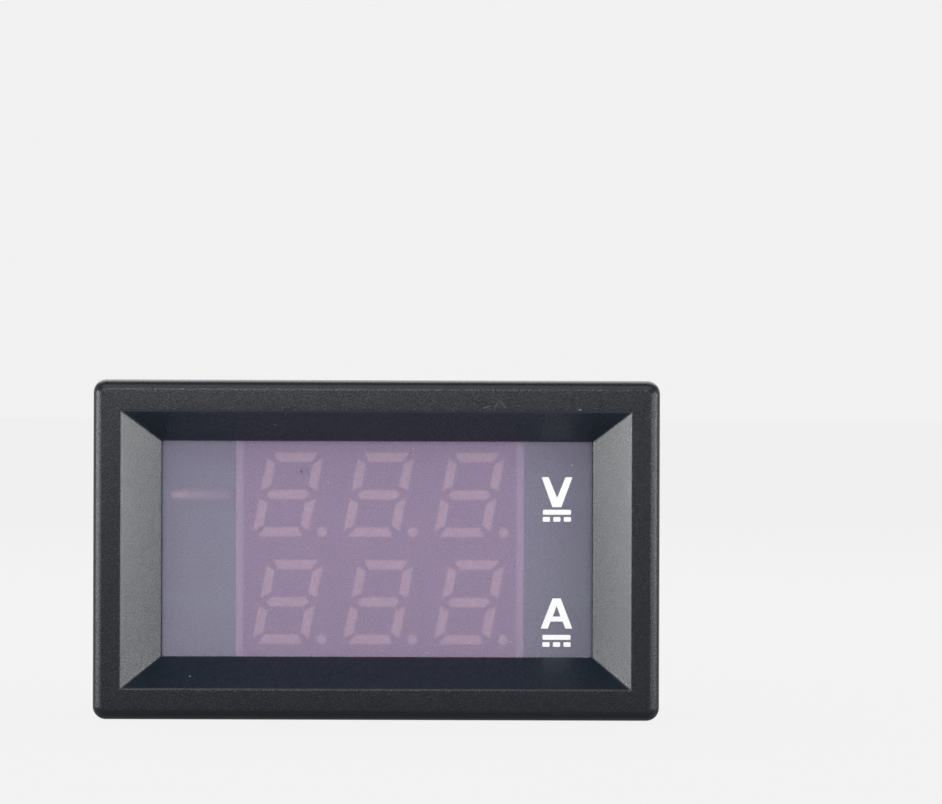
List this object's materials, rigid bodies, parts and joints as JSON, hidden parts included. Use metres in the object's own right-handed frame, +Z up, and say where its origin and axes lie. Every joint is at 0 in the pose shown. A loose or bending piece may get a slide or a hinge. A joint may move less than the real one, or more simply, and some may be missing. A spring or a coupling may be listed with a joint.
{
  "type": "digital panel meter",
  "caption": "Rectangular snap-in panel meter with a recessed tinted window over stacked rows of bar-segment digits, and plug headers on an open rear.",
  "frame": {"origin": "centre of the flange's rear face, which seats on the panel", "axes": "+X to the right seen from the front, +Y to the rear along the body, +Z up"},
  "size_m": [0.048, 0.0225, 0.0288],
  "materials": {
    "housing_plastic": "satin, finely grained",
    "lens_tint": "smooth, smoke grey",
    "display_white": "matt",
    "display_grey": "matt print",
    "segment_resin": "unlit, milky",
    "board_green": "solder mask",
    "solder": "bright",
    "tinned_metal": "tinned",
    "shunt_alloy": "drawn wire",
    "header_white": "moulded nylon",
    "trimmer_base": "ceramic",
    "chip_black": "moulded",
    "capacitor_tan": "ceramic"
  },
  "bodies": {
    "meter": {"housing": "housing_plastic", "lens": "lens_tint", "display_shell": "display_white", "display_film": "display_grey", "display_base": "board_green", "display_pins": "tinned_metal", "digit_upper_left": "segment_resin", "digit_upper_middle": "segment_resin", "digit_upper_right": "segment_resin", "digit_lower_left": "segment_resin", "digit_lower_middle": "segment_resin", "digit_lower_right": "segment_resin", "circuit_board": "board_green", "display_solder": "solder", "header_solder": "solder", "shunt_solder": "solder", "shunt_wire": "shunt_alloy", "current_header": "header_white", "current_pins": "tinned_metal", "supply_header": "header_white", "supply_pins": "tinned_metal", "voltage_trimmer_base": "trimmer_base", "voltage_trimmer_contacts": "tinned_metal", "current_trimmer_base": "trimmer_base", "current_trimmer_contacts": "tinned_metal", "controller_body": "chip_black", "controller_legs": "tinned_metal", "amplifier_body": "chip_black", "amplifier_legs": "tinned_metal", "regulator_body": "chip_black", "regulator_tabs": "tinned_metal", "diode_body": "chip_black", "diode_tabs": "tinned_metal", "capacitor_bodies": "capacitor_tan", "capacitor_ends": "tinned_metal", "resistor_bodies": "chip_black", "resistor_ends": "tinned_metal"},
    "voltage_rotor": {"voltage_trimmer_rotor": "tinned_metal"},
    "current_rotor": {"current_trimmer_rotor": "tinned_metal"}
  },
  "joints": [
    {"name": "voltage_trim", "type": "hinge", "parent": "meter", "child": "voltage_rotor", "pos_m": [0.0122, 0.0107, 0.0083], "axis": [0, 1, 0], "range_deg": [-130, 130]},
    {"name": "current_trim", "type": "hinge", "parent": "meter", "child": "current_rotor", "pos_m": [0.0168, 0.0107, 0.0083], "axis": [0, 1, 0], "range_deg": [-130, 130]}
  ]
}
